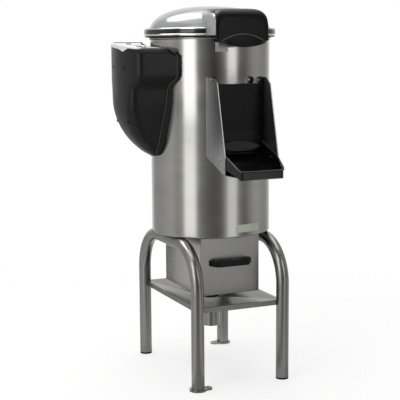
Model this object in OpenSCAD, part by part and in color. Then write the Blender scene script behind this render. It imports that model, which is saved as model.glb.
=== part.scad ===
// Electric potato peeler on a tubular stand. Millimetres, +Z up.
// The origin is on the floor, midway between the four legs. The front faces -Y.
// The control housing is on the viewer's left, at -X.

/* [Stand] */
// Half of the distance between the left and right legs, centre to centre
leg_x = 154; // [145:1:165]
// Half of the distance between the front and rear legs, centre to centre
leg_y = 236; // [225:1:245]
// Outer radius of the leg tube
tube_r = 21.2; // [20:0.1:21.5]
// Wall of the leg tube
tube_wall = 2; // [1.5:0.5:3]
// Centreline radius of the two bends of each leg arch
bend_r = 140; // [110:5:160]
// Thickness of the foot plates and of the end caps below the tubes
foot_h = 6; // [4:1:8]
// Distance from a leg's axis to its floor bolt hole
ear_reach = 34; // [32:1:38]
// Radius of the floor bolt holes
anchor_hole_r = 5.5; // [4.5:0.5:6.5]
// Height of the catch tray's rim
tray_z = 270; // [255:1:280]

/* [Drum] */
// Outer radius of the drum
drum_r = 200; // [195:1:205]
// Height of the underside of the drum
drum_z0 = 483; // [475:1:490]
// Height of the drum's upper edge
drum_z1 = 1126; // [1110:1:1140]
// Sheet thickness of the drum
drum_wall = 2; // [1.5:0.5:3]
// Height of the abrasive disc's upper face
disc_top = 756; // [750:1:758]

/* [Discharge] */
// Half width across the outside of the two cheeks
cheek_x = 94; // [90:1:98]
// Height of the door's hinge axis
door_axis_z = 996; // [990:1:1000]
// Distance of the door's hinge axis in front of the drum's axis
door_axis_y = 211; // [209:1:214]
// Lower edge of the door
door_z0 = 768; // [766:1:772]
// How far the chute reaches in front of the drum's axis
chute_reach = 390; // [370:1:410]

/* [Filter drawer] */
// Half width of the drawer's housing
box_x = 106; // [100:1:110]
// Front face of the drawer's housing, in front of the drum's axis
box_front = 151; // [148:1:156]
// Underside of the drawer's housing
box_z0 = 288; // [280:1:295]

/* [Lid] */
// Outer radius of the lid's rim
rim_r = 221; // [216:1:223]
// Height of the lid's rim
rim_h = 25; // [20:1:28]
// Rise of the clear dome above the rim's foot
dome_rise = 99; // [94:1:104]
// Outer radius of the clear dome
dome_r = 203; // [202:1:206]

/* [Control housing] */
// Radius of the housing's outer face about the drum's axis
house_r = 330; // [320:1:340]
// Half width of the housing's upper part
house_hw = 130; // [120:1:135]
// Height of the control panel over the drum's side
panel_z = 1107; // [1100:1:1112]
// Slope of the control panel towards the front, in degrees
panel_tilt = 4.8; // [3:0.1:6]
// Travel of each button
button_travel = 2; // [1.5:0.5:2.5]

/* [Hidden] */
$fn = 96;

steel = [0.62, 0.62, 0.60];
steel_dark = [0.45, 0.45, 0.44];
black = [0.13, 0.13, 0.14];
rubber = [0.08, 0.08, 0.08];
clear = [0.75, 0.78, 0.80, 0.5];
grit = [0.38, 0.36, 0.33];
pale = [0.82, 0.84, 0.80];

gap = 0.3;             // space between parts that move past each other
pin_gap = 0.05;        // radial running clearance of a pin
big = 600;             // longer than any cut needs

arch_z = drum_z0 - tube_r;
bolt_y = 60;           // studs welded into each arch
bolt_r = 5;
base_h = 6;
base_round = 5;        // rounded lower edge of the base plate
drum_in = drum_r - drum_wall;
open_x = 80;           // half width of the discharge opening
open_z0 = 762;
open_z1 = 976;
collar_h = 8;
collar_r = drum_r + 4;

cheek_t = 3;
chute_in = cheek_x - cheek_t - gap;      // half width of the chute
frame_y = 208;         // front face of the frame round the opening
chute_screw = [-278, 752];               // a chute screw's Y and Z

floor_z = 728;         // underside of the chamber floor
floor_h = 4;
duct_x = 60;           // half width of the peel duct
duct_y0 = -142;
duct_y1 = -64;
duct_wall = 2;
liner_t = 6;
liner_z1 = 1060;
disc_r = 186;
shaft_r = 12.5;
bearing_r = 26;
pulley_z = 505;
pulley_h = 25;
driven_r = 55;
motor_pulley_r = 20;
motor_y = 110;         // motor's axis behind the drum's axis
motor_r = 64;
motor_z0 = 546;
motor_z1 = 705;
motor_shaft_r = 8;
rotor_r = 35;
belt_t = 4;

sheet = 2;
front_t = 4;           // depth of the drawer's front
runner_z = 300;
basket_x = box_x - sheet - 3;
tray_hem = 17;
tray_low = 246;
drain_r = 30.15;

gasket_t = 3;
lid_z = drum_z1 + collar_h + gasket_t;   // underside of the rim
hinge_y = 236;
hinge_z = 1130;
hinge_pin_r = 4;
rim_t = 3;
dome_t = 3;
dome_wall = 8;         // straight part of the dome's side
boss_x = 99;           // half width of the clear boss that juts out over the rim
handle_x = 96;
handle_t = 4;
handle_front = 254;
handle_top = lid_z + 84;

pipe_x = 70;           // water pipe and valve, right of the middle at the rear
pipe_z = 1095;
pipe_r = 8;
valve_y = 216;
valve_z = 950;
gland_z = 530;
gland_turn = 20;       // the gland's place, in degrees from +Y towards -X

house_wall = 4;
flange_t = 14;         // depth of the flange between the drum and the housing
flange_drop = 12;      // the flange's top edge below the panel
house_r0 = drum_r + flange_t;
horn_c = [125, 930];   // centre and radius of the housing's lower curve
panel_x = -268;
fascia_t = 2;
fascia_y = 119.5;      // half length of the panel film
board_drop = 22;       // depth of the circuit board below the panel
board_t = 1.6;
button_r = 9;
button_y = [-82, -42, -2, 56];
screw_r = 3;
screw_places = [[-9, 1039], [9, 1039], [-9, 863], [9, 863]];   // degrees from -X, height

// ---------- helpers ----------

function bez(p, t) = pow(1 - t, 3) * p[0] + 3 * pow(1 - t, 2) * t * p[1]
    + 3 * (1 - t) * t * t * p[2] + t * t * t * p[3];
function bez_points(p, n) = [for (i = [1:n]) bez(p, i / n)];
function arc_points(c, r, a0, a1, n) =
    [for (i = [0:n]) c + r * [cos(a0 + (a1 - a0) * i / n), sin(a0 + (a1 - a0) * i / n)]];
function flip(points) = [for (i = [len(points) - 1:-1:0]) [-points[i][0], points[i][1]]];

// a profile in Y and Z, extruded along X from x0 to x1
module side_profile(x0, x1) {
    translate([x0, 0, 0]) rotate([90, 0, 90]) linear_extrude(x1 - x0) children();
}

// an outline in X and Z, extruded along Y from y0 to y1
module front_profile(y0, y1) {
    translate([0, y1, 0]) rotate([90, 0, 0]) linear_extrude(y1 - y0) children();
}

module block(x0, x1, y0, y1, z0, z1) {
    translate([x0, y0, z0]) cube([x1 - x0, y1 - y0, z1 - z0]);
}

module ring(r1, r0, z0, z1) {
    difference() {
        translate([0, 0, z0]) cylinder(h = z1 - z0, r = r1, $fn = 180);
        translate([0, 0, z0 - 1]) cylinder(h = z1 - z0 + 2, r = r0, $fn = 180);
    }
}

module drum_solid(r) {
    translate([0, 0, -1]) cylinder(h = 1400, r = r, $fn = 180);
}

// a four-sided pan: half sizes a at z1 taper to half sizes b at z0
module frustum(a, b, z0, z1) {
    corner = [[-1, -1], [1, -1], [1, 1], [-1, 1]];
    polyhedron(
        points = concat(
            [for (c = corner) [c[0] * b[0], c[1] * b[1], z0]],
            [for (c = corner) [c[0] * a[0], c[1] * a[1], z1]]),
        faces = [[0, 1, 2, 3], [7, 6, 5, 4], [1, 0, 4, 5], [2, 1, 5, 6], [3, 2, 6, 7], [0, 3, 7, 4]]);
}

module x_cylinder(x0, x1, y, z, r) {
    translate([x0, y, z]) rotate([0, 90, 0]) cylinder(h = x1 - x0, r = r);
}

// a frame whose z runs outwards from the drum's axis, at an angle and a height
module radial(angle, z) {
    rotate([0, 0, angle]) translate([0, 0, z]) rotate([0, 90, 0]) children();
}

// the control panel's own plane: its z is the height over the panel
module on_panel() {
    translate([panel_x, 0, panel_z]) rotate([panel_tilt, 0, 0]) children();
}

// ---------- stand ----------

module tube_run(r) {
    for (s = [0, 1]) mirror([0, s, 0]) {
        translate([0, leg_y, foot_h]) cylinder(h = arch_z - bend_r - foot_h, r = r);
        translate([0, leg_y - bend_r, arch_z - bend_r]) rotate([90, 0, 90])
            rotate_extrude(angle = 90) translate([bend_r, 0]) circle(r);
    }
    translate([0, leg_y - bend_r, arch_z]) rotate([90, 0, 0])
        cylinder(h = 2 * (leg_y - bend_r), r = r);
}

module leg_arch(side) {
    color(steel) translate([side * leg_x, 0, 0]) difference() {
        tube_run(tube_r);
        tube_run(tube_r - tube_wall);
        for (y = [-bolt_y, bolt_y])
            translate([0, y, arch_z]) cylinder(h = tube_r + 1, r = bolt_r);
    }
}

module left_leg_arch() { leg_arch(-1); }

module right_leg_arch() { leg_arch(1); }

module leg_end_caps() {
    color(black) for (s = [-1, 1]) translate([s * leg_x, -s * leg_y, 0]) {
        cylinder(h = foot_h, r = tube_r);
        translate([0, 0, foot_h]) cylinder(h = 14, r = tube_r - tube_wall);
    }
}

// a round plate under the leg with one ear towards the middle of the stand
module anchor_feet() {
    plate_r = 28;
    ear_r = 15;
    color(steel) for (s = [-1, 1]) translate([s * leg_x, s * leg_y, 0]) rotate([0, 0, s > 0 ? 180 : 0])
        difference() {
            union() {
                cylinder(h = foot_h, r = plate_r);
                translate([0, -ear_r, 0]) cube([ear_reach, 2 * ear_r, foot_h]);
                translate([ear_reach, 0, 0]) cylinder(h = foot_h, r = ear_r);
            }
            translate([ear_reach, 0, -1]) cylinder(h = foot_h + 2, r = anchor_hole_r);
        }
}

module stand_bolts() {
    nut_h = 8;
    z0 = arch_z + tube_r - 8;
    z1 = drum_z0 + base_h;
    color(steel_dark) for (sx = [-1, 1], sy = [-1, 1]) translate([sx * leg_x, sy * bolt_y, 0]) {
        translate([0, 0, z0]) cylinder(h = z1 - z0 + nut_h, r = bolt_r);
        translate([0, 0, z1]) cylinder(h = nut_h, r = 9.8, $fn = 6);
    }
}

module catch_tray() {
    x1 = leg_x - 2;
    y1 = leg_y - 2;
    lip = 6;
    hole = [32, 32];
    color(steel) difference() {
        union() {
            block(-x1, x1, -y1, y1, tray_z - tray_hem, tray_z);
            frustum([x1 - 1, y1 - 1], hole, tray_low, tray_z - 3);
        }
        difference() {
            block(-x1 + sheet, x1 - sheet, -y1 + sheet, y1 - sheet, tray_low - 5, tray_z - sheet);
            frustum([x1, y1], hole, tray_low, tray_z - 1);
        }
        frustum([x1 - lip, y1 - lip], [hole[0] - 1, hole[1] - 1], tray_low + sheet, tray_z + 0.5);
        translate([0, 0, tray_low - 1]) cylinder(h = 10, r = drain_r - sheet);
        for (sx = [-1, 1], sy = [-1, 1]) translate([sx * leg_x, sy * leg_y, 200])
            cylinder(h = 100, r = tube_r + pin_gap);
    }
}

module drain_outlet() {
    low = 147;
    color(steel) difference() {
        union() {
            translate([0, 0, low]) cylinder(h = tray_low - low, r = drain_r);
            translate([0, 0, tray_low - 3]) cylinder(h = 3, r = drain_r + 5);
        }
        translate([0, 0, low - 1]) cylinder(h = tray_low - low + 2, r = drain_r - sheet);
    }
}

// ---------- drum ----------

module base_plate() {
    color(steel) difference() {
        rotate_extrude($fn = 180) translate([0, drum_z0]) {
            square([drum_r - base_round, base_h]);
            translate([0, base_round]) square([drum_r, base_h - base_round]);
            intersection() {
                translate([drum_r - base_round, base_round]) circle(base_round, $fn = 48);
                translate([drum_r - base_round, 0]) square(base_round);
            }
        }
        block(-duct_x, duct_x, duct_y0, duct_y1, drum_z0 - 1, drum_z0 + base_h + 1);
        for (sx = [-1, 1], sy = [-1, 1]) translate([sx * leg_x, sy * bolt_y, drum_z0 - 1])
            cylinder(h = base_h + 2, r = bolt_r + gap);
    }
}

module discharge_cut(grow) {
    block(-open_x - grow, open_x + grow, -drum_r - 20, -120, open_z0 - grow, open_z1 + grow);
}

// the casing round the motor, below the chamber floor
module base_casing() {
    color(steel) difference() {
        ring(drum_r, drum_in, drum_z0 + base_h, floor_z);
        radial(90 + gland_turn, gland_z) cylinder(h = big, r = 10);
    }
}

module drum_shell() {
    color(steel) difference() {
        ring(drum_r, drum_in, floor_z, drum_z1);
        discharge_cut(0);
        translate([pipe_x, 120, pipe_z]) rotate([-90, 0, 0]) cylinder(h = 100, r = pipe_r + gap);
        for (p = screw_places) radial(180 + p[0], p[1]) cylinder(h = big, r = screw_r + gap);
    }
}

// a rolled bead round the drum's mouth, under the lid's gasket
module top_collar() {
    color(steel) rotate_extrude($fn = 180) translate([0, drum_z1]) {
        translate([drum_in, 0]) square([collar_r - drum_in - collar_h / 2, collar_h]);
        intersection() {
            translate([collar_r - collar_h / 2, collar_h / 2]) circle(collar_h / 2, $fn = 48);
            translate([collar_r - collar_h / 2, 0]) square([collar_h, collar_h]);
        }
    }
}

module chamber_floor() {
    color(steel) difference() {
        translate([0, 0, floor_z]) cylinder(h = floor_h, r = drum_in, $fn = 180);
        block(-duct_x + duct_wall, duct_x - duct_wall, duct_y0 + duct_wall, duct_y1 - duct_wall,
            floor_z - 1, floor_z + floor_h + 1);
        translate([0, 0, floor_z - 1]) cylinder(h = floor_h + 2, r = shaft_r + 2);
    }
}

module abrasive_liner() {
    color(grit) difference() {
        ring(drum_in, drum_in - liner_t, floor_z + floor_h, liner_z1);
        discharge_cut(2);
    }
}

module peel_duct() {
    color(steel) difference() {
        block(-duct_x, duct_x, duct_y0, duct_y1, drum_z0, floor_z);
        block(-duct_x + duct_wall, duct_x - duct_wall, duct_y0 + duct_wall, duct_y1 - duct_wall,
            drum_z0 - 1, floor_z + 1);
    }
}

module label_plate() {
    color(pale) rotate([0, 0, -89]) rotate_extrude(angle = 27, $fn = 180)
        translate([drum_r, 500]) square([0.8, 26]);
}

module lid_catch_bracket() {
    color(steel) difference() {
        union() {
            block(-66, -30, -208, -150, 1086, 1089);
            block(-66, -62, -212, -150, 1086, 1116);
            block(-62, -30, -203, -150, 1089, 1116);
        }
        drum_solid(drum_r);
    }
}

// ---------- filter drawer ----------

module filter_box() {
    color(steel) difference() {
        block(-box_x, box_x, -box_front, box_front, box_z0, drum_z0);
        block(-box_x + sheet, box_x - sheet, -box_front - 1, box_front - sheet, box_z0 + sheet, drum_z0 + 1);
        translate([0, 0, box_z0 - 1]) cylinder(h = sheet + 2, r = 40);
    }
}

module drawer_runners() {
    color(steel) for (s = [0, 1]) mirror([s, 0, 0])
        block(box_x - sheet - 8, box_x - sheet, -box_front + 3, box_front - 6, runner_z - 4, runner_z);
}

module drawer_front() {
    color(steel) difference() {
        block(-box_x, box_x, -box_front - front_t, -box_front - gap, box_z0 + 1, drum_z0 - 3);
        block(-box_x + sheet, box_x - sheet, -box_front - front_t + sheet, -box_front,
            box_z0 + 1 + sheet, drum_z0 - 3 - sheet);
    }
}

module filter_basket() {
    y0 = -box_front - front_t + sheet;
    y1 = box_front - 10;
    z0 = runner_z + gap;
    top = drum_z0 - 21;
    wall = 1.5;
    color(steel) difference() {
        block(-basket_x, basket_x, y0, y1, z0, top);
        block(-basket_x + wall, basket_x - wall, y0 + wall, y1 - wall, z0 + wall, top + 1);
        for (x = [-72:24:72], y = [-108:24:108]) translate([x, y, z0 - 1]) cylinder(h = 4, r = 5);
    }
}

// a bow: a straight bar on two feet that lean inwards
module drawer_handle() {
    foot = 75;
    bar = 61;
    stand = 32;
    half = [[foot, 0], [foot, -6], [bar, -stand], [0, -stand], [0, 9 - stand], [bar - 12, 9 - stand],
        [foot - 19, -6], [foot - 19, 0]];
    color(black) translate([0, -box_front - front_t, 386]) linear_extrude(22) for (s = [0, 1])
        mirror([s, 0]) polygon(half);
}

// ---------- discharge ----------

module cheek(side) {
    color(steel) difference() {
        side_profile(side > 0 ? cheek_x - cheek_t : -cheek_x, side > 0 ? cheek_x : -cheek_x + cheek_t)
            polygon([[-160, 1005], [-234, 1005], [-243, 1002], [-262, 986], [-317, 762],
                [-317, 704], [-160, 758]]);
        drum_solid(drum_r);
        x_cylinder(-big, big, -door_axis_y, door_axis_z, hinge_pin_r);
        x_cylinder(-big, big, chute_screw[0], chute_screw[1], 3);
    }
}

module left_cheek() { cheek(-1); }

module right_cheek() { cheek(1); }

module door_hinge_pins() {
    color(steel_dark) for (s = [0, 1]) mirror([s, 0, 0]) {
        x_cylinder(77, cheek_x, -door_axis_y, door_axis_z, hinge_pin_r);
        x_cylinder(cheek_x, cheek_x + 3, -door_axis_y, door_axis_z, 7);
    }
}

module chute_screws() {
    color(steel_dark) for (s = [0, 1]) mirror([s, 0, 0]) {
        x_cylinder(chute_in - 8, cheek_x, chute_screw[0], chute_screw[1], 3);
        x_cylinder(cheek_x, cheek_x + 2.5, chute_screw[0], chute_screw[1], 6);
    }
}

// the black frame round the opening, flat in front and curved to the drum behind
module door_frame() {
    color(rubber) difference() {
        block(-chute_in, chute_in, -frame_y, -150, open_z0 - 8.5, open_z1 + 8);
        block(-open_x + 2, open_x - 2, -frame_y - 1, -100, open_z0 + 2, open_z1 - 2);
        drum_solid(drum_r);
    }
}

// outline of the chute from above, drawn in by inset, with rounded front corners
module chute_plan(inset) {
    taper = 13;
    corner = 14;
    w = chute_in - inset;
    front = chute_reach - inset;
    half = concat([[w, -150], [w, -317]],
        arc_points([w - taper - corner, corner - front], corner, -12, -90, 5));
    polygon(concat(half, flip(half)));
}

module chute() {
    wall = 4;
    front = -chute_reach;
    color(black) difference() {
        intersection() {
            side_profile(-chute_in, chute_in) polygon([[-frame_y, 802], [-317, 764], [front + 6, 725],
                [front + 2, 722.5], [front, 719], [front, 700], [front + 5, 696], [-376, 704],
                [-frame_y, 755.5]]);
            translate([0, 0, 600]) linear_extrude(300) chute_plan(0);
        }
        intersection() {
            side_profile(-chute_in, chute_in) polygon([[-190, 900], [front, 900], [front, 704],
                [front + 8, 703], [-376, 708], [-190, 765]]);
            translate([0, 0, 600]) linear_extrude(300) chute_plan(wall);
        }
        x_cylinder(-big, big, chute_screw[0], chute_screw[1], 3);
    }
}

// stainless plate that closes the space below the chute and carries it
module chute_support() {
    color(steel) difference() {
        intersection() {
            side_profile(-cheek_x, cheek_x) polygon([[-160, 757], [-317, 704], [-376, 702], [-376, 704],
                [-317, 706.2], [-160, 759.2]]);
            translate([0, 0, 600]) linear_extrude(300) chute_plan(-gap);
        }
        drum_solid(drum_r);
    }
}

// flat upper panel, a slightly sloped strip, and a lens-shaped grip that flares out
module discharge_door() {
    y0 = -door_axis_y - 2;
    top = 984;
    crease = 834;
    ear = 78;
    half = chute_in - 2;
    low_half = 82;
    sill = door_z0;
    color(black) difference() {
        union() {
            block(-half, half, y0, y0 + 4, 808, top);
            block(-low_half, low_half, y0, y0 + 4, sill, 808.5);
            for (s = [0, 1]) mirror([s, 0, 0]) {
                block(half - 4, half, y0 - 6, y0 + 1, 808, top);
                block(ear, half, y0 - 6, y0 + 4, top - 12, door_axis_z);
                x_cylinder(ear, half, -door_axis_y, door_axis_z, 11);
            }
            block(-half, half, y0 - 3, y0 + 1, top - 6, top);
            side_profile(-low_half, low_half)
                polygon([[y0 + 1, crease], [y0, crease], [y0 - 5, 806], [y0 - 5, sill], [y0 + 1, sill]]);
            intersection() {
                side_profile(-low_half, low_half)
                    polygon([[y0, 806], [y0 - 5, 805], [y0 - 22, sill + 3], [y0 - 20, sill], [y0, sill]]);
                front_profile(y0 - 40, y0 + 1) lens([0, sill + 17], 76, 20);
            }
        }
        intersection() {
            side_profile(3 - low_half, low_half - 3) polygon([[y0 - 2, 795], [y0 - 8, 794],
                [y0 - 19, sill + 3], [y0 - 17, sill - 1], [y0 - 2, sill - 1]]);
            front_profile(y0 - 40, y0 + 1) lens([0, sill + 14], 70, 17);
        }
        x_cylinder(-big, big, -door_axis_y, door_axis_z, hinge_pin_r + pin_gap);
    }
}

// a lens outline: half width w, half height h, centre c
module lens(c, w, h) {
    r = (w * w + h * h) / (2 * h);
    intersection() {
        translate([c[0], c[1] - r + h]) circle(r, $fn = 180);
        translate([c[0], c[1] + r - h]) circle(r, $fn = 180);
    }
}

// ---------- lid ----------

// half of the dome's section: a straight wall under a squared-off ellipse of radius a and rise b
module dome_section(a, b) {
    steps = 26;
    power = 2.35;
    polygon(concat([[0, 0], [a, 0]], [for (i = [0:steps]) let (x = a * sin(90 * (1 - i / steps)))
        [x, dome_wall + b * pow(max(0, 1 - pow(x / a, power)), 1 / power)]]));
}

// front outline of the boss and the handle: sides that lean in above, a round roof
module cover_outline(x, z) {
    half = concat([[x, 1000]], bez_points([[x, z - 70], [x - 2, z - 30], [x - 6, z], [x - 34, z + 1]], 8));
    polygon(concat(half, flip(half)));
}

// block with an upright front and a curved roof, drawn in by inset
module cover_form(x, inset, back, low) {
    y = inset - handle_front;
    z = handle_top - inset;
    intersection() {
        side_profile(-x, x) polygon(concat([[back, low], [y, low], [y, z - 44]],
            bez_points([[y, z - 44], [y + 1, z - 14], [y + 12, z], [y + 44, z]], 8), [[back, z + 2]]));
        front_profile(-handle_front - 1, -80) cover_outline(x, z);
    }
}

// side shape of the boss where the handle leaves it clear
module boss_side(inset, low) {
    y = inset - handle_front;
    polygon(concat([[-90, low], [y + 5, low]], bez_points([[y + 5, lid_z + 1], [y + 8, lid_z + 50],
        [y - 8, lid_z + 78 - inset], [-150, lid_z + 80 - inset]], 10), [[-90, lid_z + 81 - inset]]));
}

module boss_form(inset) {
    cover_form(handle_x - handle_t - inset, handle_t + inset, -90, lid_z + inset);
    intersection() {
        side_profile(inset - boss_x, boss_x - inset) boss_side(inset, lid_z + inset);
        front_profile(-handle_front - 1, -80) cover_outline(boss_x - inset, handle_top - inset);
    }
}

module dome_form(inset) {
    translate([0, 0, lid_z]) rotate_extrude($fn = 180)
        dome_section(dome_r - inset, dome_rise - dome_wall - inset);
    boss_form(inset);
}

module lid_dome() {
    color(clear) difference() {
        union() {
            dome_form(0);
            translate([0, 0, lid_z]) cylinder(h = 3, r = rim_r - rim_t, $fn = 180);
        }
        dome_form(dome_t);
        translate([0, 0, lid_z - 1]) cylinder(h = 5, r = dome_r - dome_t, $fn = 180);
    }
}

// the rim ends on both sides of the boss
module lid_rim() {
    color(steel) difference() {
        ring(rim_r, rim_r - rim_t, lid_z, lid_z + rim_h);
        block(-boss_x, boss_x, -rim_r - 1, -100, lid_z - 1, lid_z + rim_h + 1);
    }
}

module lid_gasket() {
    color(rubber) ring(rim_r - rim_t - 2, drum_in + 2, drum_z1 + collar_h + gap, lid_z);
}

// black moulding over the boss's front and roof, with a flared grip
module lid_handle() {
    front = handle_front;
    low = lid_z - 37;
    color(black) difference() {
        union() {
            intersection() {
                cover_form(handle_x, 0, -150, low);
                union() {
                    block(-handle_x, handle_x, -front - 1, -90, lid_z - 14, handle_top + 10);
                    front_profile(-front - 1, -150) lens([0, lid_z - 8], 96, 30);
                }
            }
            intersection() {
                side_profile(-82, 82) polygon([[6 - front, lid_z + 3], [-front, lid_z + 3],
                    [-front - 11, low + 4], [-front - 9, low], [6 - front, low]]);
                front_profile(-front - 40, 6 - front) lens([0, low + 20], 80, 20);
            }
        }
        cover_form(handle_x - handle_t, handle_t, -90, low - 10);
        side_profile(-handle_x - 1, handle_x + 1) boss_side(0, lid_z);
        block(-handle_x - 1, handle_x + 1, 5 - front, -90, low - 10, lid_z + 0.5);
        intersection() {
            side_profile(-78, 78) polygon([[8 - front, lid_z - 6], [3 - front, lid_z - 6],
                [-front - 8, low + 3], [-front - 6, low - 1], [8 - front, low - 1]]);
            front_profile(-front - 40, 8 - front) lens([0, low + 15], 74, 17);
        }
    }
}

module lid_hinge_leaf() {
    color(steel) difference() {
        union() {
            side_profile(-18, 18) polygon([[rim_r - 1, lid_z + 2], [rim_r - 1, lid_z + 22],
                [rim_r + 4, lid_z + 22], [hinge_y + 8, hinge_z + 4], [hinge_y - 6, hinge_z + 7]]);
            x_cylinder(-18, 18, hinge_y, hinge_z, 9);
        }
        translate([0, 0, lid_z - 60]) cylinder(h = 120, r = rim_r, $fn = 180);
        x_cylinder(-20, 20, hinge_y, hinge_z, hinge_pin_r + pin_gap);
    }
}

module lid_hinge_bracket() {
    color(steel) difference() {
        union() {
            block(-34, 34, 150, 206, 1062, 1108);
            for (s = [0, 1]) mirror([s, 0, 0]) {
                side_profile(19, 30) polygon([[200, 1075], [200, 1112], [hinge_y - 4, hinge_z + 8],
                    [hinge_y + 8, hinge_z - 4]]);
                x_cylinder(19, 30, hinge_y, hinge_z, 9);
            }
        }
        drum_solid(drum_r);
        x_cylinder(-40, 40, hinge_y, hinge_z, hinge_pin_r);
    }
}

module lid_hinge_pin() {
    color(steel_dark) {
        x_cylinder(-32, 32, hinge_y, hinge_z, hinge_pin_r);
        x_cylinder(30, 33, hinge_y, hinge_z, 6);
    }
}

// ---------- water ----------

module solenoid_valve() {
    color(black) difference() {
        union() {
            block(pipe_x - 18, pipe_x + 18, 150, valve_y + 18, valve_z - 20, valve_z + 20);
            x_cylinder(pipe_x + 18, pipe_x + 50, valve_y, valve_z, 15);
        }
        drum_solid(drum_r);
    }
}

module water_inlet() {
    color(steel) translate([pipe_x, valve_y + 18, valve_z]) rotate([-90, 0, 0]) difference() {
        union() {
            cylinder(h = 6, r = 17, $fn = 6);
            cylinder(h = 28, r = 13.2);
        }
        translate([0, 0, -1]) cylinder(h = 30, r = 9);
    }
}

module spray_pipe() {
    bend = 16;
    color(steel) {
        translate([pipe_x, valve_y, valve_z + 20]) cylinder(h = pipe_z - bend - valve_z - 20, r = pipe_r);
        translate([pipe_x, valve_y - bend, pipe_z - bend]) rotate([90, 0, 90])
            rotate_extrude(angle = 90) translate([bend, 0]) circle(pipe_r);
        translate([pipe_x, valve_y - bend, pipe_z]) rotate([90, 0, 0])
            cylinder(h = valve_y - bend - 170, r = pipe_r);
    }
}

// ---------- drive ----------

module motor_plate() {
    h = 6;
    color(steel) {
        difference() {
            block(-75, 75, 36, 165, motor_z0 - h, motor_z0);
            translate([0, motor_y, motor_z0 - h - 1]) cylinder(h = h + 2, r = motor_shaft_r + 4);
        }
        for (s = [0, 1]) mirror([s, 0, 0]) block(71, 75, 36, 165, drum_z0 + base_h, motor_z0 - h);
    }
}

module motor_body() {
    color(steel_dark) translate([0, motor_y, 0]) difference() {
        union() {
            translate([0, 0, motor_z0]) cylinder(h = motor_z1 - motor_z0, r = motor_r);
            for (a = [0:30:330]) rotate([0, 0, a])
                block(motor_r - 2, motor_r + 3, -1.5, 1.5, motor_z0 + 20, motor_z1 - 20);
        }
        translate([0, 0, motor_z0 + 20]) cylinder(h = motor_z1 - motor_z0 - 40, r = rotor_r + 1);
        translate([0, 0, motor_z0 - 1]) cylinder(h = motor_z1 - motor_z0 - 9, r = motor_shaft_r + pin_gap);
    }
}

module motor_rotor() {
    color(steel) translate([0, motor_y, 0]) {
        translate([0, 0, pulley_z - 5]) cylinder(h = 190, r = motor_shaft_r);
        translate([0, 0, motor_z0 + 24]) cylinder(h = motor_z1 - motor_z0 - 48, r = rotor_r);
    }
}

module grooved_wheel(r, bore) {
    groove = 3;
    rotate_extrude() difference() {
        translate([bore, 0]) square([r - bore, pulley_h]);
        for (k = [0:3]) translate([r, 4 + k * 5.5])
            polygon([[0.1, -0.1], [0.1, groove + 0.1], [-groove, groove / 2]]);
    }
}

module motor_pulley() {
    color(steel) translate([0, motor_y, pulley_z]) grooved_wheel(motor_pulley_r, motor_shaft_r);
}

module driven_pulley() {
    color(steel) translate([0, 0, pulley_z]) grooved_wheel(driven_r, shaft_r);
}

// the belt's loop: a band round both pulleys
module belt_outline(t) {
    r1 = driven_r + gap + t;
    r2 = motor_pulley_r + gap + t;
    lean = asin((r1 - r2) / motor_y);
    circle(r1);
    translate([0, motor_y]) circle(r2);
    polygon([[r1 * cos(lean), r1 * sin(lean)], [r2 * cos(lean), motor_y + r2 * sin(lean)],
        [-r2 * cos(lean), motor_y + r2 * sin(lean)], [-r1 * cos(lean), r1 * sin(lean)]]);
}

module drive_belt() {
    color(rubber) translate([0, 0, pulley_z + 2]) linear_extrude(pulley_h - 4) difference() {
        belt_outline(belt_t);
        belt_outline(0);
    }
}

module bearing_housing() {
    color(steel_dark) difference() {
        union() {
            translate([0, 0, 560]) cylinder(h = floor_z - 560, r = bearing_r + 8);
            translate([0, 0, floor_z - 8]) cylinder(h = 8, r = 58);
        }
        translate([0, 0, 559]) cylinder(h = 157, r = bearing_r);
        translate([0, 0, 700]) cylinder(h = 60, r = 22);
    }
}

module shaft_bearings() {
    color(steel) for (z = [566, 698]) ring(bearing_r, shaft_r + pin_gap, z, z + 16);
}

module shaft_seal() {
    color(rubber) ring(22, shaft_r + 0.1, 716, floor_z);
}

module main_shaft() {
    color(steel) {
        translate([0, 0, pulley_z - 6]) cylinder(h = 740 - pulley_z + 6, r = shaft_r);
        translate([0, 0, 740]) cylinder(h = 10, r = shaft_r - 2);
    }
}

// round plate with a hub below and two rounded waves that toss the load
module abrasive_disc() {
    wave_r = 60;
    wave_h = 8;
    color(grit) difference() {
        union() {
            translate([0, 0, disc_top - 12]) cylinder(h = 12, r = disc_r, $fn = 180);
            translate([0, 0, 736]) cylinder(h = 10, r = 30);
            translate([0, 0, disc_top]) cylinder(h = 5, r = 20);
            intersection() {
                for (a = [0, 180]) rotate([0, 0, a + 20])
                    translate([30, 0, disc_top - wave_r + wave_h]) rotate([0, 90, 0])
                        cylinder(h = disc_r - 40, r = wave_r);
                translate([0, 0, disc_top - 1]) cylinder(h = wave_h + 2, r = disc_r - 6);
            }
        }
        translate([0, 0, 735]) cylinder(h = 5, r = shaft_r);
        translate([0, 0, 735]) cylinder(h = 15, r = shaft_r - 2);
    }
}

// ---------- control housing ----------

// the housing's outline seen from the side, Y across and Z up, drawn in by inset
module shield(inset) {
    w = house_hw - inset;
    right = concat(
        [[w, 1200], [w, 1020]],
        bez_points([[w, 1020], [w, 988], [100 - inset, 994], [96 - inset, 962]], 8),
        bez_points([[96 - inset, 962], [90 - inset, 890], [66 - inset, 835], [58 - inset, 800]], 8),
        bez_points([[58 - inset, 800], [49 - inset, 765 + inset], [24, 742 + inset], [0, 742 + inset]], 10));
    polygon(concat(right, flip(right)));
}

// section of the housing: radius across and Z up
module horn_section(inset, inner) {
    r = house_r - inset;
    curve = house_r - horn_c[0] - inset;
    translate([inner, horn_c[1]]) square([r - inner, 1200 - horn_c[1]]);
    intersection() {
        translate(horn_c) circle(curve, $fn = 180);
        translate([inner, 700]) square([r - inner, horn_c[1] - 700]);
    }
}

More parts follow.
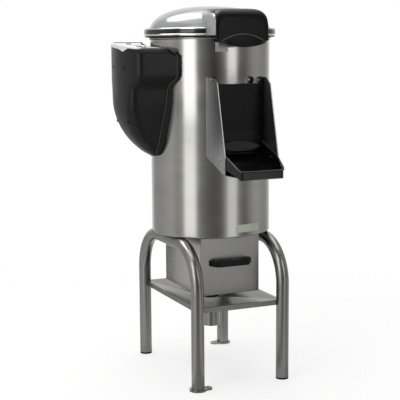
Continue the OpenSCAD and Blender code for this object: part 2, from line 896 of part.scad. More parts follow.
// plan of the housing with its two outer corners rounded; the outer face itself is turned
module house_plan(inset) {
    corner = 24;
    w = house_hw - inset;
    r = house_r - inset + 0.6;
    cx = -sqrt(pow(r - corner, 2) - pow(w - corner, 2));
    a = atan2(w - corner, cx);
    half = concat([[-120, w], [cx, w]], arc_points([cx, w - corner], corner, 90, a, 8),
        [[-r - 20, r * sin(a)]]);
    polygon(concat(half, [for (i = [len(half) - 1:-1:0]) [half[i][0], -half[i][1]]]));
}

module house_solid(inset, inner) {
    intersection() {
        side_profile(-house_r - 10, -100) shield(inset);
        rotate([0, 0, 130]) rotate_extrude(angle = 100, $fn = 180) horn_section(inset, inner);
        translate([0, 0, 700]) linear_extrude(500) house_plan(inset);
    }
}

function house_radius(z) = z > horn_c[1] ? house_r
    : horn_c[0] + sqrt(pow(house_r - horn_c[0], 2) - pow(horn_c[1] - z, 2));

// space of the panel film: a sheet on the panel, and a strip with a V-shaped tab that turns down
// over the housing's outer face
module fascia_space() {
    strip_t = 1.5;
    on_panel() translate([-panel_x, 0, -fascia_t]) linear_extrude(20) difference() {
        translate([-house_r - 10, -fascia_y]) square([150, 2 * fascia_y]);
        circle(house_r0 + 18, $fn = 180);
    }
    difference() {
        side_profile(-house_r - 10, -250) polygon([[fascia_y, 1140], [fascia_y, 1108], [-12, 1097],
            [-48, 1088], [-76, 1097], [-76, 1140]]);
        drum_solid(house_r - strip_t);
    }
}

// outside of the housing below the panel, its long edges bevelled and its inner edge sloped
module house_outside() {
    difference() {
        house_solid(0, house_r0);
        on_panel() {
            block(-200, 200, -300, 300, 0, 200);
            for (s = [0, 1]) mirror([0, s, 0]) side_profile(-80, 180)
                polygon([[120, 1], [120, 0], [130.5, -17], [150, -50], [150, 1]]);
            translate([-panel_x, 0, 0]) rotate_extrude($fn = 180)
                polygon([[150, 1], [150, -flange_drop - 2], [house_r0 - 3, -flange_drop - 2],
                    [house_r0 + 18, 0], [house_r0 + 18, 1]]);
        }
    }
}

module control_housing() {
    color(black) difference() {
        house_outside();
        difference() {
            house_solid(house_wall, house_r0 - 20);
            on_panel() {
                block(-200, 200, -300, 300, -house_wall, 200);
                for (s = [0, 1]) mirror([0, s, 0]) side_profile(-80, 180)
                    polygon([[114, 1], [114, -house_wall], [126, -24], [150, -50], [150, 1]]);
                translate([-panel_x, 0, -house_wall]) rotate_extrude($fn = 180)
                    polygon([[150, 9], [150, -flange_drop - 2], [house_r0 - 3, -flange_drop - 2],
                        [house_r0 + 19, 0], [house_r0 + 19, 9]]);
            }
        }
        fascia_space();
        on_panel() for (y = button_y) translate([0, y, -20]) cylinder(h = 30, r = button_r + gap);
        for (p = screw_places) radial(180 + p[0], p[1]) {
            cylinder(h = big, r = screw_r + gap);
            translate([0, 0, house_radius(p[1]) - 2]) cylinder(h = 20, r = 6);
        }
    }
}

module control_fascia() {
    color(pale) difference() {
        intersection() {
            house_outside();
            fascia_space();
        }
        on_panel() for (y = button_y) translate([0, y, -20]) cylinder(h = 30, r = button_r + gap);
    }
}

// hollow black flange that carries the housing on the drum, its upper corners rounded
module housing_flange() {
    corner = 28;
    w = house_hw - 2;
    color(black) intersection() {
        rotate([0, 0, 130]) rotate_extrude(angle = 100, $fn = 180)
            translate([drum_r, 700]) square([flange_t, 500]);
        side_profile(-house_r, -100) difference() {
            shield(2);
            shield(12);
        }
        on_panel() side_profile(0, 200) polygon(concat([[w, -500]],
            arc_points([w - corner, -flange_drop - corner], corner, 0, 90, 8),
            arc_points([corner - w, -flange_drop - corner], corner, 90, 180, 8), [[-w, -500]]));
    }
}

module circuit_board() {
    color([0.10, 0.32, 0.18]) on_panel() translate([0, 0, -board_drop]) {
        block(-34, 34, -104, 104, 0, board_t);
        for (x = [-30, 30], y = [-100, 100]) translate([x, y, board_t])
            cylinder(h = board_drop - board_t - house_wall, r = 3);
        block(-28, 28, 20, 90, -24, 0);
    }
}

module housing_screws() {
    color(steel_dark) for (p = screw_places) radial(180 + p[0], p[1]) {
        seat = house_radius(p[1]) - 2;
        translate([0, 0, seat]) cylinder(h = 2.4, r = 5.5);
        translate([0, 0, drum_in]) cylinder(h = seat - drum_in + 1, r = screw_r);
    }
}

module cable_gland() {
    color(black) radial(90 + gland_turn, gland_z) translate([0, 0, drum_r]) difference() {
        union() {
            translate([0, 0, -12]) cylinder(h = 24, r = 9.8);
            translate([0, 0, -10]) cylinder(h = 7.4, r = 14, $fn = 6);
            cylinder(h = 8, r = 14, $fn = 6);
            translate([0, 0, 8]) cylinder(h = 14, r = 12);
        }
        translate([0, 0, -13]) cylinder(h = 36, r = 5);
    }
}

module push_button(k, tone) {
    stem_z = board_t - board_drop + button_travel + 0.5;
    color(tone) on_panel() translate([0, button_y[k], 0]) {
        translate([0, 0, -4]) cylinder(h = button_travel + 4.5, r = button_r);
        translate([0, 0, stem_z]) cylinder(h = -3 - stem_z, r = 3);
    }
}

module start_button() { push_button(0, [0.10, 0.50, 0.25]); }

module stop_button() { push_button(1, [0.75, 0.12, 0.10]); }

module pulse_button() { push_button(2, [0.90, 0.90, 0.88]); }

module timer_button() { push_button(3, [0.45, 0.48, 0.50]); }

left_leg_arch();
right_leg_arch();
leg_end_caps();
anchor_feet();
stand_bolts();
catch_tray();
drain_outlet();
base_plate();
base_casing();
drum_shell();
top_collar();
chamber_floor();
abrasive_liner();
peel_duct();
filter_box();
drawer_runners();
left_cheek();
right_cheek();
door_hinge_pins();
door_frame();
chute();
chute_screws();
chute_support();
lid_catch_bracket();
label_plate();
lid_hinge_bracket();
lid_hinge_pin();
water_inlet();
solenoid_valve();
spray_pipe();
motor_body();
motor_plate();
bearing_housing();
shaft_bearings();
shaft_seal();
drive_belt();
control_housing();
housing_flange();
control_fascia();
circuit_board();
housing_screws();
cable_gland();
lid_dome();
lid_rim();
lid_gasket();
lid_handle();
lid_hinge_leaf();
discharge_door();
drawer_front();
filter_basket();
drawer_handle();
abrasive_disc();
main_shaft();
driven_pulley();
motor_rotor();
motor_pulley();
start_button();
stop_button();
pulse_button();
timer_button();
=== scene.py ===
import math

import bmesh
import bpy
import numpy as np
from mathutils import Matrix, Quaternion, Vector


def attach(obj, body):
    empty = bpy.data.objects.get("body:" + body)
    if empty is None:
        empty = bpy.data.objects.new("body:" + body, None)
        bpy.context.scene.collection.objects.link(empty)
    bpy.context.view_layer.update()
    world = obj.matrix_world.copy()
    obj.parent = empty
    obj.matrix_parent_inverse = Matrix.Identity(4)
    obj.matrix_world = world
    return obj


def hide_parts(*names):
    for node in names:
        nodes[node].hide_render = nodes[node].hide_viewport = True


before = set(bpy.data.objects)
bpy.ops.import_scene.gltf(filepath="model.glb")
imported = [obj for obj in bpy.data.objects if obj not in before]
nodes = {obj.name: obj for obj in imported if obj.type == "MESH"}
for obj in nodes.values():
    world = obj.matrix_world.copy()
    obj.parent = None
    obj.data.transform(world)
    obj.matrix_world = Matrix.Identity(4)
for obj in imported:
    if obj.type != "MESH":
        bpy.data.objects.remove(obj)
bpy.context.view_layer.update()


# colours and shader nodes

def srgb(code):  # "#rrggbb" to linear red, green, blue and alpha
    parts = [int(code[i:i + 2], 16) / 255 for i in (1, 3, 5)]
    linear = [c / 12.92 if c <= 0.04045 else ((c + 0.055) / 1.055) ** 2.4 for c in parts]
    return (*linear, 1.0)


def toned(code, factor):  # the same colour, darker or lighter
    return (*(min(1.0, c * factor) for c in srgb(code)[:3]), 1.0)


def fill(tree, node, inputs):  # each input gets a link or a plain value
    for key, value in inputs.items():
        if isinstance(value, bpy.types.NodeSocket):
            tree.links.new(value, node.inputs[key])
        else:
            node.inputs[key].default_value = value


def put(tree, kind, settings=None, inputs=None):  # adds a node with its settings and links
    made = tree.nodes.new("ShaderNode" + kind)
    for key, value in (settings or {}).items():
        setattr(made, key, value)
    fill(tree, made, inputs or {})
    return made


def newMaterial(name):
    material = bpy.data.materials.new(name)
    material.use_nodes = True
    tree = material.node_tree
    tree.nodes.clear()
    shader = put(tree, "BsdfPrincipled")
    put(tree, "OutputMaterial", None, {"Surface": shader.outputs[0]})
    return material, tree, shader


def ramp(tree, factor, stops):  # stops are (place, colour), from left to right
    made = put(tree, "ValToRGB", None, {"Fac": factor})
    band = made.color_ramp.elements
    while len(band) < len(stops):
        band.new(0.5)
    for element, (place, colour) in zip(band, stops):
        element.position = place
        element.color = colour
    return made.outputs["Color"]


drumR = 0.2  # metres, turns an angle round the drum into a length along it

# scratches and clouds in noise cells per metre along X, Y and Z, or round the drum and up it:
# scratches 70 mm long and 0.4 mm wide, some four times as coarse as real ones so that they show,
# and clouds 200 by 110 mm on what is round and 330 by 45 mm on the rest
grainCells = {"round": ((14, 2600, 1), (5, 9, 1)), "x": ((14, 2200, 2200), (3, 22, 22)),
              "y": ((2200, 14, 2200), (22, 3, 22)), "z": ((2200, 2200, 14), (22, 22, 3))}


# stainless sheet or tube, ground with a belt: fine scratches along the grain over slow changes of
# tone, which draw the lamps out into soft bands across the grain; edge is a rounding in mm
def stainless(name, colour, rough, grain, spread=0.10, relief=0.05, aniso=0.0, edge=0.8):
    material, tree, shader = newMaterial(name)
    along = put(tree, "TexCoord").outputs["Object"]
    if grain == "round":  # the angle round Z, as a length, and the height
        xyz = put(tree, "SeparateXYZ", None, {"Vector": along}).outputs
        angle = put(tree, "Math", {"operation": "ARCTAN2"}, {0: xyz["Y"], 1: xyz["X"]}).outputs[0]
        arc = put(tree, "Math", {"operation": "MULTIPLY"}, {0: angle, 1: drumR}).outputs[0]
        along = put(tree, "CombineXYZ", None, {"X": arc, "Y": xyz["Z"]}).outputs[0]
    fineAt, broadAt = (put(tree, "Mapping", None, {"Vector": along, "Scale": cells}).outputs[0]
                       for cells in grainCells[grain])
    scratch = put(tree, "TexNoise", None,
                  {"Vector": fineAt, "Scale": 1.0, "Detail": 3.0, "Roughness": 0.6}).outputs[0]
    cloud = put(tree, "TexNoise", None,
                {"Vector": broadAt, "Scale": 1.0, "Detail": 2.0}).outputs[0]
    mixed = put(tree, "Math", {"operation": "MULTIPLY_ADD"},
                {0: scratch, 1: 0.35, 2: cloud}).outputs[0]
    tone = ramp(tree, mixed, [(0.45, toned(colour, 1 - spread)), (0.9, toned(colour, 1 + spread))])
    dullness = put(tree, "MapRange", None,
                   {"Value": mixed, "From Min": 0.4, "From Max": 0.95,
                    "To Min": rough * 0.82, "To Max": rough * 1.2}).outputs[0]
    rounded = put(tree, "Bevel", {"samples": 4}, {"Radius": edge / 1000}).outputs[0]
    bump = put(tree, "Bump", None, {"Height": scratch, "Strength": relief, "Distance": 0.0002,
                                    "Normal": rounded}).outputs[0]
    fill(tree, shader, {"Base Color": tone, "Roughness": dullness, "Normal": bump,
                        "Metallic": 1.0, "Anisotropic": aniso})
    if aniso:
        tangent = put(tree, "Tangent", {"direction_type": "RADIAL", "axis": "Z"}).outputs[0]
        fill(tree, shader, {"Tangent": tangent})
    return material


# moulded plastic, rubber, paint or film: a spark-eroded grain, whose pitch is grainMm, rubbed a
# little smoother in patches of about 70 mm, so that its highlights are soft and uneven
def moulded(name, colour, rough, grainMm=0.5, relief=0.12, edge=1.2, specular=0.5):
    material, tree, shader = newMaterial(name)
    place = put(tree, "TexCoord").outputs["Object"]
    grain = put(tree, "TexNoise", None,
                {"Vector": place, "Scale": 1000 / grainMm, "Detail": 2.0}).outputs[0]
    worn = put(tree, "TexNoise", None, {"Vector": place, "Scale": 14.0, "Detail": 3.0}).outputs[0]
    tone = ramp(tree, worn, [(0.3, toned(colour, 0.9)), (0.75, toned(colour, 1.12))])
    dullness = put(tree, "MapRange", None,
                   {"Value": worn, "From Min": 0.3, "From Max": 0.75,
                    "To Min": rough * 0.88, "To Max": min(1.0, rough * 1.12)}).outputs[0]
    rounded = put(tree, "Bevel", {"samples": 4}, {"Radius": edge / 1000}).outputs[0]
    bump = put(tree, "Bump", None, {"Height": grain, "Strength": relief, "Distance": 0.0002,
                                    "Normal": rounded}).outputs[0]
    fill(tree, shader, {"Base Color": tone, "Roughness": dullness, "Normal": bump,
                        "Specular IOR Level": specular})
    return material


# aluminium oxide grit bonded to a backing: grains 1.6 mm across, a little coarser than real ones
# so that they show, dark between and paler on their worn tips
def abrasive(name):
    material, tree, shader = newMaterial(name)
    place = put(tree, "TexCoord").outputs["Object"]
    grains = put(tree, "TexVoronoi", None, {"Vector": place, "Scale": 620.0}).outputs["Distance"]
    patch = put(tree, "TexNoise", None, {"Vector": place, "Scale": 30.0, "Detail": 4.0}).outputs[0]
    tone = ramp(tree, grains, [(0.05, srgb("#8b857b")), (0.6, srgb("#4c4740"))])
    dullness = put(tree, "MapRange", None,
                   {"Value": patch, "To Min": 0.8, "To Max": 0.98}).outputs[0]
    bump = put(tree, "Bump", None,
               {"Height": grains, "Strength": 0.8, "Distance": 0.0009}).outputs[0]
    fill(tree, shader, {"Base Color": tone, "Roughness": dullness, "Normal": bump})
    return material


# clear copolyester, thermoformed: slightly smoky, with forming waves 110 mm long that bend what
# is seen through it, and a faint haze in patches of 17 mm
def clearSheet(name):
    material, tree, shader = newMaterial(name)
    place = put(tree, "TexCoord").outputs["Object"]
    wave = put(tree, "TexNoise", None, {"Vector": place, "Scale": 9.0, "Detail": 2.0}).outputs[0]
    haze = put(tree, "TexNoise", None, {"Vector": place, "Scale": 60.0, "Detail": 3.0}).outputs[0]
    tone = ramp(tree, haze, [(0.3, srgb("#b9bcbd")), (0.8, srgb("#c6c8c8"))])
    dullness = put(tree, "MapRange", None,
                   {"Value": haze, "To Min": 0.05, "To Max": 0.14}).outputs[0]
    bump = put(tree, "Bump", None,
               {"Height": wave, "Strength": 0.15, "Distance": 0.002}).outputs[0]
    fill(tree, shader, {"Base Color": tone, "Roughness": dullness, "Normal": bump,
                        "Transmission Weight": 0.62, "IOR": 1.57})
    return material


steels = {  # stainless steel 304 but for the last, by how each was formed and finished
    # sheet rolled to a drum and polished: a soft mirror, its bands drawn out up the drum
    "drumSteel": dict(colour="#9d9c99", rough=0.15, grain="round", aniso=0.75),
    "sheetSteel": dict(colour="#8e8d8b", rough=0.34, grain="z"),  # folded sheet, matt, even grey
    "boxSteelPaintedLight": dict(colour="#bdbcb9", rough=0.3, grain="z"),  # folded sheet, made paler as painted light on the box's shaded side
    "cheekSteel": dict(colour="#ababac", rough=0.34, grain="z"),  # cut sheet, bright at its edges
    "traySteelPaintedShade": dict(colour="#777673", rough=0.28, grain="y"),  # folded sheet, glossier, and darker as painted shade
    "tubeSteel": dict(colour="#8a8986", rough=0.27, grain="z"),  # drawn tube, long thin highlights
    # spun ring, buffed: the brightest metal, with hardly a scratch
    "rimSteel": dict(colour="#c9c9c8", rough=0.10, grain="round", spread=0.04, relief=0.02),
    "plainSteel": dict(colour="#a09e99", rough=0.42, grain="x"),  # unpolished sheet, out of sight
    # turned bar: bright, with sharp edges
    "screwSteel": dict(colour="#b9b8b4", rough=0.22, grain="round", relief=0.02, edge=0.5),
    "castMetal": dict(colour="#a8a8a7", rough=0.5, grain="round", relief=0.1),  # cast aluminium
}
plastics = {  # moulded parts, and the paint, films and boards that show the same soft sheen
    "blackAbs": dict(colour="#0a0a0b", rough=0.42, specular=0.18),  # ABS, moulded, satin
    "housingAbs": dict(colour="#0a0a0b", rough=0.4, grainMm=0.8, specular=0.26),  # ABS, coarse
    "handleAbs": dict(colour="#090909", rough=0.34, specular=0.13),  # ABS, worn smooth by hands
    "edgeAbsPaintedHighlight": dict(colour="#303031", rough=0.35),  # ABS edges, made greyer as a painted highlight where they catch the light
    "doorAbs": dict(colour="#09090a", rough=0.34, specular=0.12),  # ABS, a smooth flat panel
    "gripAbsPaintedHighlight": dict(colour="#232324", rough=0.32, specular=0.3),  # ABS, made paler as a painted highlight where it flares out and catches the light
    "chuteAbs": dict(colour="#0b0b0c", rough=0.2, specular=0.3),  # ABS, polished by what slides
    "screwBlack": dict(colour="#0a0a0b", rough=0.5, specular=0.2),  # blackened steel, dull
    "glossBlackPaintedReflection": dict(colour="#0c0c0d", rough=0.12, relief=0.02),  # black with a sharp shine, a painted reflection of the dark room on the rim's middle face
    "blackRubber": dict(colour="#101010", rough=0.7, grainMm=0.3),  # EPDM, moulded, matt
    "motorPaint": dict(colour="#3d454e", rough=0.45, grainMm=1.2),  # enamel over a cast body
    # polyester film: flat, satin, with crisp edges
    "panelFilm": dict(colour="#c6cbc4", rough=0.38, grainMm=0.2, relief=0.04, edge=0.3),
    "labelFilm": dict(colour="#9fa79a", rough=0.3, grainMm=0.2, relief=0.03, edge=0.3),
    "boardGreen": dict(colour="#1d5a35", rough=0.4, grainMm=0.3),  # epoxy board under lacquer
    "capGreen": dict(colour="#5f8d6b", rough=0.35, grainMm=0.3, relief=0.04),  # silicone caps
    "capRed": dict(colour="#b2625a", rough=0.35, grainMm=0.3, relief=0.04),
    "capWhite": dict(colour="#d8d8d4", rough=0.35, grainMm=0.3, relief=0.04),
    "capGrey": dict(colour="#6c7073", rough=0.35, grainMm=0.3, relief=0.04),
}
mats = {name: stainless(name, **look) for name, look in steels.items()}
mats.update({name: moulded(name, **look) for name, look in plastics.items()})
mats["grit"] = abrasive("grit")
mats["clearSheet"] = clearSheet("clearSheet")
print("materials", len(mats))

finishOf = {
    "drumSteel": ["drum_shell", "base_casing", "base_plate", "top_collar"],
    "sheetSteel": ["drawer_front", "lid_catch_bracket", "lid_hinge_bracket", "lid_hinge_leaf"],
    "boxSteelPaintedLight": ["filter_box"],
    "cheekSteel": ["left_cheek", "right_cheek", "chute_support"],
    "traySteelPaintedShade": ["catch_tray"],
    "tubeSteel": ["left_leg_arch", "right_leg_arch", "anchor_feet", "drain_outlet"],
    "rimSteel": ["lid_rim"],
    "plainSteel": ["chamber_floor", "peel_duct", "drawer_runners", "filter_basket", "motor_plate",
                   "spray_pipe", "water_inlet"],
    "screwSteel": ["stand_bolts", "door_hinge_pins", "chute_screws", "lid_hinge_pin",
                   "shaft_bearings", "main_shaft", "motor_rotor"],
    "screwBlack": ["housing_screws"],
    "castMetal": ["driven_pulley", "motor_pulley", "bearing_housing"],
    "blackAbs": ["leg_end_caps", "cable_gland", "solenoid_valve", "drawer_handle"],
    "housingAbs": ["control_housing"],
    "handleAbs": ["lid_handle"],
    "doorAbs": ["discharge_door"],
    "chuteAbs": ["chute"],
    "blackRubber": ["door_frame", "lid_gasket", "shaft_seal", "drive_belt", "housing_flange"],
    "motorPaint": ["motor_body"],
    "panelFilm": ["control_fascia"],
    "labelFilm": ["label_plate"],
    "boardGreen": ["circuit_board"],
    "capGreen": ["start_button"],
    "capRed": ["stop_button"],
    "capWhite": ["pulse_button"],
    "capGrey": ["timer_button"],
    "grit": ["abrasive_liner", "abrasive_disc"],
    "clearSheet": ["lid_dome"],
}
for finish, members in finishOf.items():
    for member in members:
        slots = nodes[member].data.materials
        if len(slots) == 0:
            slots.append(mats[finish])
        for i in range(len(slots)):
            slots[i] = mats[finish]
print("finishes on", sum(len(m) for m in finishOf.values()), "of", len(nodes), "nodes")


# mesh tools: a piece is one or more closed surfaces, in millimetres

# one face between each four neighbours of a grid of points, numbered row by row from first
def gridFaces(rows, cols, first=0, wrap=False):
    r, c = np.meshgrid(np.arange(rows - 1), np.arange(cols if wrap else cols - 1), indexing="ij")
    a, b = first + r * cols + c, first + r * cols + (c + 1) % cols
    return np.stack([a, b, b + cols, a + cols], -1).reshape(-1, 4)


# two grids of the same size, one behind the other, joined along their open edges
def shell(outer, inner, wrap=False):
    rows, cols = outer.shape[:2]
    count = rows * cols
    index = np.arange(count).reshape(rows, cols)
    faces = [gridFaces(rows, cols, 0, wrap), gridFaces(rows, cols, count, wrap)[:, ::-1]]
    edges = [index[0], index[-1]] if wrap else [index[0], index[-1], index[:, 0], index[:, -1]]
    for edge in edges:
        after = np.roll(edge, -1) if wrap else edge[1:]
        here = edge if wrap else edge[:-1]
        faces.append(np.stack([here, after, after + count, here + count], -1))
    return np.concatenate([outer.reshape(-1, 3), inner.reshape(-1, 3)]), np.concatenate(faces)


# a closed loop of radius and height turned round Z, between two directions whose cut ends are
# closed: x = radius cos(turn), y = radius sin(turn), z = height
def lathe(profile, steps, ends):
    profile = np.asarray(profile, float)
    turn = np.linspace(*ends, steps)[:, None]
    grid = np.stack([profile[:, 0] * np.cos(turn), profile[:, 0] * np.sin(turn),
                     profile[:, 1] + 0 * turn], -1)
    caps = [np.repeat(grid[k].mean(0)[None, None], len(profile), 1) for k in (0, -1)]
    grid = np.concatenate([caps[0], grid, caps[1]], 0)
    grid = np.concatenate([grid, grid[:, :1]], 1)
    return grid.reshape(-1, 3), gridFaces(*grid.shape[:2])


# a section carried along a path, its ends closed: half[0] across and half[1] along up, each times
# a cosine or sine to the power 2/power, so that 2 is an ellipse and more is squarer
def tube(path, half, up=(0, 0, 1), power=2.0, steps=20, taper=None):
    path = np.asarray(path, float)
    along = np.gradient(path, axis=0)
    along /= np.linalg.norm(along, axis=1)[:, None]
    across = np.cross(along, np.asarray(up, float))
    across /= np.linalg.norm(across, axis=1)[:, None]
    over = np.cross(across, along)
    t = np.linspace(0, 2 * np.pi, steps, endpoint=False)
    u = half[0] * np.sign(np.cos(t)) * np.abs(np.cos(t)) ** (2 / power)
    v = half[1] * np.sign(np.sin(t)) * np.abs(np.sin(t)) ** (2 / power)
    size = np.ones(len(path)) if taper is None else np.asarray(taper, float)
    section = u[None, :, None] * across[:, None] + v[None, :, None] * over[:, None]
    grid = path[:, None] + size[:, None, None] * section
    ends = [np.repeat(path[i][None, None], steps, 1) for i in (0, -1)]
    grid = np.concatenate([ends[0], grid, ends[1]], 0)
    return grid.reshape(-1, 3), gridFaces(len(path) + 2, steps, 0, True)


# straight runs whose corners are rounded: near b the path is (1-t)^2 p + 2t(1-t) b + t^2 q, where
# p and q lie a radius before and after b
def bent(points, radius, steps=8):
    points = [np.asarray(p, float) for p in points]
    out = [points[0]]
    for a, b, c in zip(points, points[1:], points[2:]):
        r = min(radius, 0.45 * np.linalg.norm(b - a), 0.45 * np.linalg.norm(c - b))
        p = b + (a - b) * r / np.linalg.norm(a - b)
        q = b + (c - b) * r / np.linalg.norm(c - b)
        for t in np.linspace(0, 1, steps + 1):
            out.append((1 - t) ** 2 * p + 2 * t * (1 - t) * b + t * t * q)
    return np.array(out + [points[-1]])


# the cubic curve from p0 to p3: (1-t)^3 p0 + 3(1-t)^2 t p1 + 3(1-t) t^2 p2 + t^3 p3
def bezier(p, steps):
    t = np.linspace(0, 1, steps)[:, None]
    p = np.asarray(p, float)
    return ((1 - t) ** 3 * p[0] + 3 * (1 - t) ** 2 * t * p[1] + 3 * (1 - t) * t * t * p[2]
            + t ** 3 * p[3])


# a piece from closed surfaces, which rides on a body and may take the place of CAD nodes
def piece(name, parts, finish, body, replaced=(), crease=38):
    points = np.concatenate([np.asarray(v, float) for v, f in parts]) / 1000
    faces, start = [], 0
    for v, f in parts:
        faces += (np.asarray(f) + start).tolist()
        start += len(v)
    mesh = bpy.data.meshes.new(name)
    mesh.from_pydata(points.tolist(), [], faces)
    work = bmesh.new()
    work.from_mesh(mesh)
    bmesh.ops.remove_doubles(work, verts=work.verts, dist=1e-6)
    bmesh.ops.dissolve_degenerate(work, dist=1e-6, edges=work.edges)
    bmesh.ops.recalc_face_normals(work, faces=work.faces)
    work.to_mesh(mesh)
    work.free()
    mesh.polygons.foreach_set("use_smooth", [True] * len(mesh.polygons))
    mesh.set_sharp_from_angle(angle=math.radians(crease))
    mesh.materials.append(mats[finish])
    made = bpy.data.objects.new(name, mesh)
    bpy.context.scene.collection.objects.link(made)
    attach(made, body)
    if replaced:
        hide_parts(*replaced)
    print(name, len(mesh.polygons), "faces")
    return made


front = -math.pi / 2  # the direction of the front, round Z


# lid: a clear dome whose boss juts out over the rim

lid = {
    "foot": 1137, "sheet": 3,  # height above the floor, thickness
    "domeR": 203, "wall": 8, "rise": 99, "power": 2.35,  # power 2 is an ellipse, more is squarer
    "bossX": 99, "bossTop": 80, "bossFoot": -14, "bossArch": 97, "bossPower": 5.5, "bossEdge": 18,
    "bossTurn": 0.56,  # radians each way from the front, where the columns are closer
    "blend": 1.0,  # how softly dome and boss run into each other
    "brimR": 215.6, "brim": (0.2, 3.0), "thin": 0.3,  # flange: radius, heights, thinning inwards
    "lowest": 0.9, "rowsTo": 32,  # degrees: the first row, and where the rows grow wider
    "columns": (170, 190), "rows": (70, 33),
}
# where the handle leaves the boss clear: height above the lid's foot, reach forwards
bossCurve = np.concatenate([[(0, 249)], bezier([(1, 249), (50, 246), (78, 262), (80, 150)], 40),
                            [(80.6, 90), (81.5, 0)]])


# the distance at which a test stops holding, found by halving 0 to 400 mm
def lastInside(test, like):
    low, high = np.zeros_like(like), np.full_like(like, 400.0)
    for halving in range(36):
        mid = (low + high) / 2
        held = test(mid)
        low, high = np.where(held, mid, low), np.where(held, high, mid)
    return low


# the distance from the middle of the lid's foot to its surface, in a direction: the smooth larger
# of the dome, a straight wall and then a squared-off ellipse, and the boss, a squared-off arch
# across X whose reach forwards falls with height along bossCurve
def domeRadius(turn, lift, inset):
    def inDome(r):
        flat = r * np.cos(lift) / (lid["domeR"] - inset)
        above = np.maximum(r * np.sin(lift) - lid["wall"], 0) / (lid["rise"] - lid["wall"] - inset)
        return flat ** lid["power"] + above ** lid["power"] < 1

    def inBoss(r):
        z = r * np.sin(lift)
        wide = np.abs(r * np.cos(lift) * np.cos(turn)) / (lid["bossX"] - inset)
        high = np.maximum(z - lid["bossFoot"], 0) / (lid["bossArch"] - inset)
        arch = wide ** lid["bossPower"] + high ** lid["bossPower"]
        reach = np.interp(z + inset, bossCurve[:, 0], bossCurve[:, 1] - inset)
        ahead = np.maximum(-r * np.cos(lift) * np.sin(turn), 0) / np.maximum(reach, 1)
        capped = (z / (lid["bossTop"] - inset)) ** lid["bossEdge"]
        return arch ** (lid["bossEdge"] / lid["bossPower"]) + ahead ** lid["bossEdge"] + capped < 1

    dome = lastInside(inDome, lift)
    boss = np.where(np.sin(turn) < 0, lastInside(inBoss, lift), 0)
    blend = lid["blend"]
    return np.maximum(dome, boss) + blend * np.log1p(np.exp(-np.abs(dome - boss) / blend))


# the lid's surface: columns round Z, closer across the boss, and rows from the flange to the top
def domeGrid(inset):
    close, wide = lid["columns"]
    start, end = front - lid["bossTurn"], front + lid["bossTurn"]
    behind = np.linspace(end, start + 2 * np.pi, wide + 1)[1:-1]
    turn = np.concatenate([np.linspace(start, end, close), behind])[None, :]
    lift = np.concatenate([np.linspace(lid["lowest"], lid["rowsTo"], lid["rows"][0]),
                           np.linspace(lid["rowsTo"], 90, lid["rows"][1] + 1)[1:]])
    turn, lift = np.broadcast_arrays(turn, np.radians(lift)[:, None])
    r = domeRadius(turn, lift, inset)
    grid = np.stack([r * np.cos(lift) * np.cos(turn), r * np.cos(lift) * np.sin(turn),
                     lid["foot"] + r * np.sin(lift)], -1)
    foot = np.maximum(lid["brimR"] - lid["thin"] * inset, r[0])
    brim = [np.stack([foot * np.cos(turn[0]), foot * np.sin(turn[0]),
                      np.full(turn.shape[1], lid["foot"] + z)], -1)[None]
            for z in (lid["brim"][0], lid["brim"][1] - lid["thin"] * inset)]
    return np.concatenate(brim + [grid], 0)


# the sheet that closes the boss from below, from the drum's wall to the boss's inside
bossFloor = {"half": 0.44, "from": 199.5, "atLeast": 200, "z": (0.3, 2.6), "clear": 0.1}
floorTurn = np.linspace(front - bossFloor["half"], front + bossFloor["half"], 60)[None, :]
floorOut = domeRadius(floorTurn, np.radians(lid["lowest"]) + 0 * floorTurn,
                      lid["sheet"] + bossFloor["clear"])
floorOut = np.maximum(floorOut, bossFloor["atLeast"])
reach = bossFloor["from"] + (floorOut - bossFloor["from"]) * np.linspace(0, 1, 8)[:, None]
floorSheet = [np.stack([reach * np.cos(floorTurn), reach * np.sin(floorTurn),
                        lid["foot"] + z + 0 * reach], -1) for z in bossFloor["z"]]
piece("lidDome", [shell(domeGrid(0), domeGrid(lid["sheet"]), wrap=True), shell(*floorSheet)],
      "clearSheet", "lid", ["lid_dome"], crease=60)

# lid rim: a steel ring with two beads and a black band between, which is a painted reflection of
# the dark room on its middle face, open at the boss; loops of radius and height above the lid's
# foot
rim = {
    "gap": 0.482, "steps": 220,  # radians each way from the front
    "steel": [(213.2, 1.2), (214.2, 0.2), (219.2, 0.1), (220.5, 0.7), (220.95, 2.0), (220.9, 4.0),
              (220.2, 5.6), (218.7, 6.4), (218.3, 7.4), (218.3, 19.0), (218.7, 20.2), (220.2, 20.8),
              (220.9, 22.0), (220.95, 23.4), (220.3, 24.6), (219.0, 24.95), (216.4, 24.8),
              (215.0, 23.8), (214.6, 22.0), (213.2, 20.0)],
    "band": [(218.0, 7.2), (219.5, 7.4), (219.8, 8.4), (219.9, 13.2), (219.8, 18.2), (219.5, 19.1),
             (218.0, 19.3)],
}
rimEnds = (front + rim["gap"], front + 2 * math.pi - rim["gap"])
rimSteel, rimPaintedReflection = (lathe([(r, z + lid["foot"]) for r, z in rim[part]], rim["steps"], rimEnds)
                     for part in ("steel", "band"))
piece("lidRim", [rimSteel], "rimSteel", "lid", ["lid_rim"], crease=50)
piece("lidRimPaintedReflection", [rimPaintedReflection], "glossBlackPaintedReflection", "lid", crease=50)


# lid handle: a roof over the boss, with a flared grip below its front

grip = {
    "half": 96, "front": 254, "top": 1221, "foot": 1123, "back": -150, "sheet": 4,
    "fall": 46, "fallOver": 44, "fallPower": 2.4,  # how the roof rounds down to the front
    "draw": 15, "drawOver": 16,  # how the sides round in to the front
    "power": (5.5, 8.0), "powerAt": (40, 104),  # squareness of the section, by depth
    "straight": 5, "rows": [4.6, 60, 80],  # depth where the edges begin to rise; more sections
    "inwards": (0.97, 0.9, 0.7, 0.4, 0.0),  # the flat front, drawn in to the middle of its foot
}


